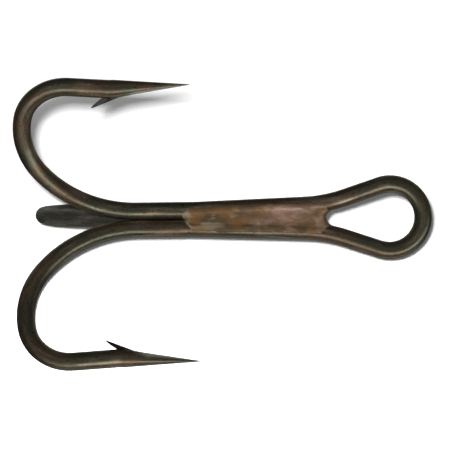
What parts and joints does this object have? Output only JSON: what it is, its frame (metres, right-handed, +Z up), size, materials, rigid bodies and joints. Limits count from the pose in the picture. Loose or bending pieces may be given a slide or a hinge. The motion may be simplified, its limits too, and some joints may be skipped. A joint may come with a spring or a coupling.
{
  "type": "treble hook",
  "caption": "Treble fishing hook: a folded double hook with a looped eye and a single hook nested behind it, barbed, bronzed and brazed along one shank.",
  "frame": {"origin": "centre of the round end of the eye's opening, in the mid-plane of the eye's wire", "axes": "+X along the shank, from the bends to the eye; +Z up, with the part lying on two of its three bends; the third hook points straight up"},
  "size_m": [0.056, 0.038, 0.0332],
  "materials": {
    "bronzed_wire": "bronze lacquer over hardened steel wire, satin to gloss, rubbed to tan on the crests",
    "braze_filler": "dull copper-brown brazing filler, mottled, with pale flux stains"
  },
  "bodies": {
    "root": {"double_hook": "bronzed_wire", "single_hook": "bronzed_wire", "braze_front": "braze_filler", "braze_rear_upper": "braze_filler", "braze_rear_lower": "braze_filler"}
  },
  "joints": []
}
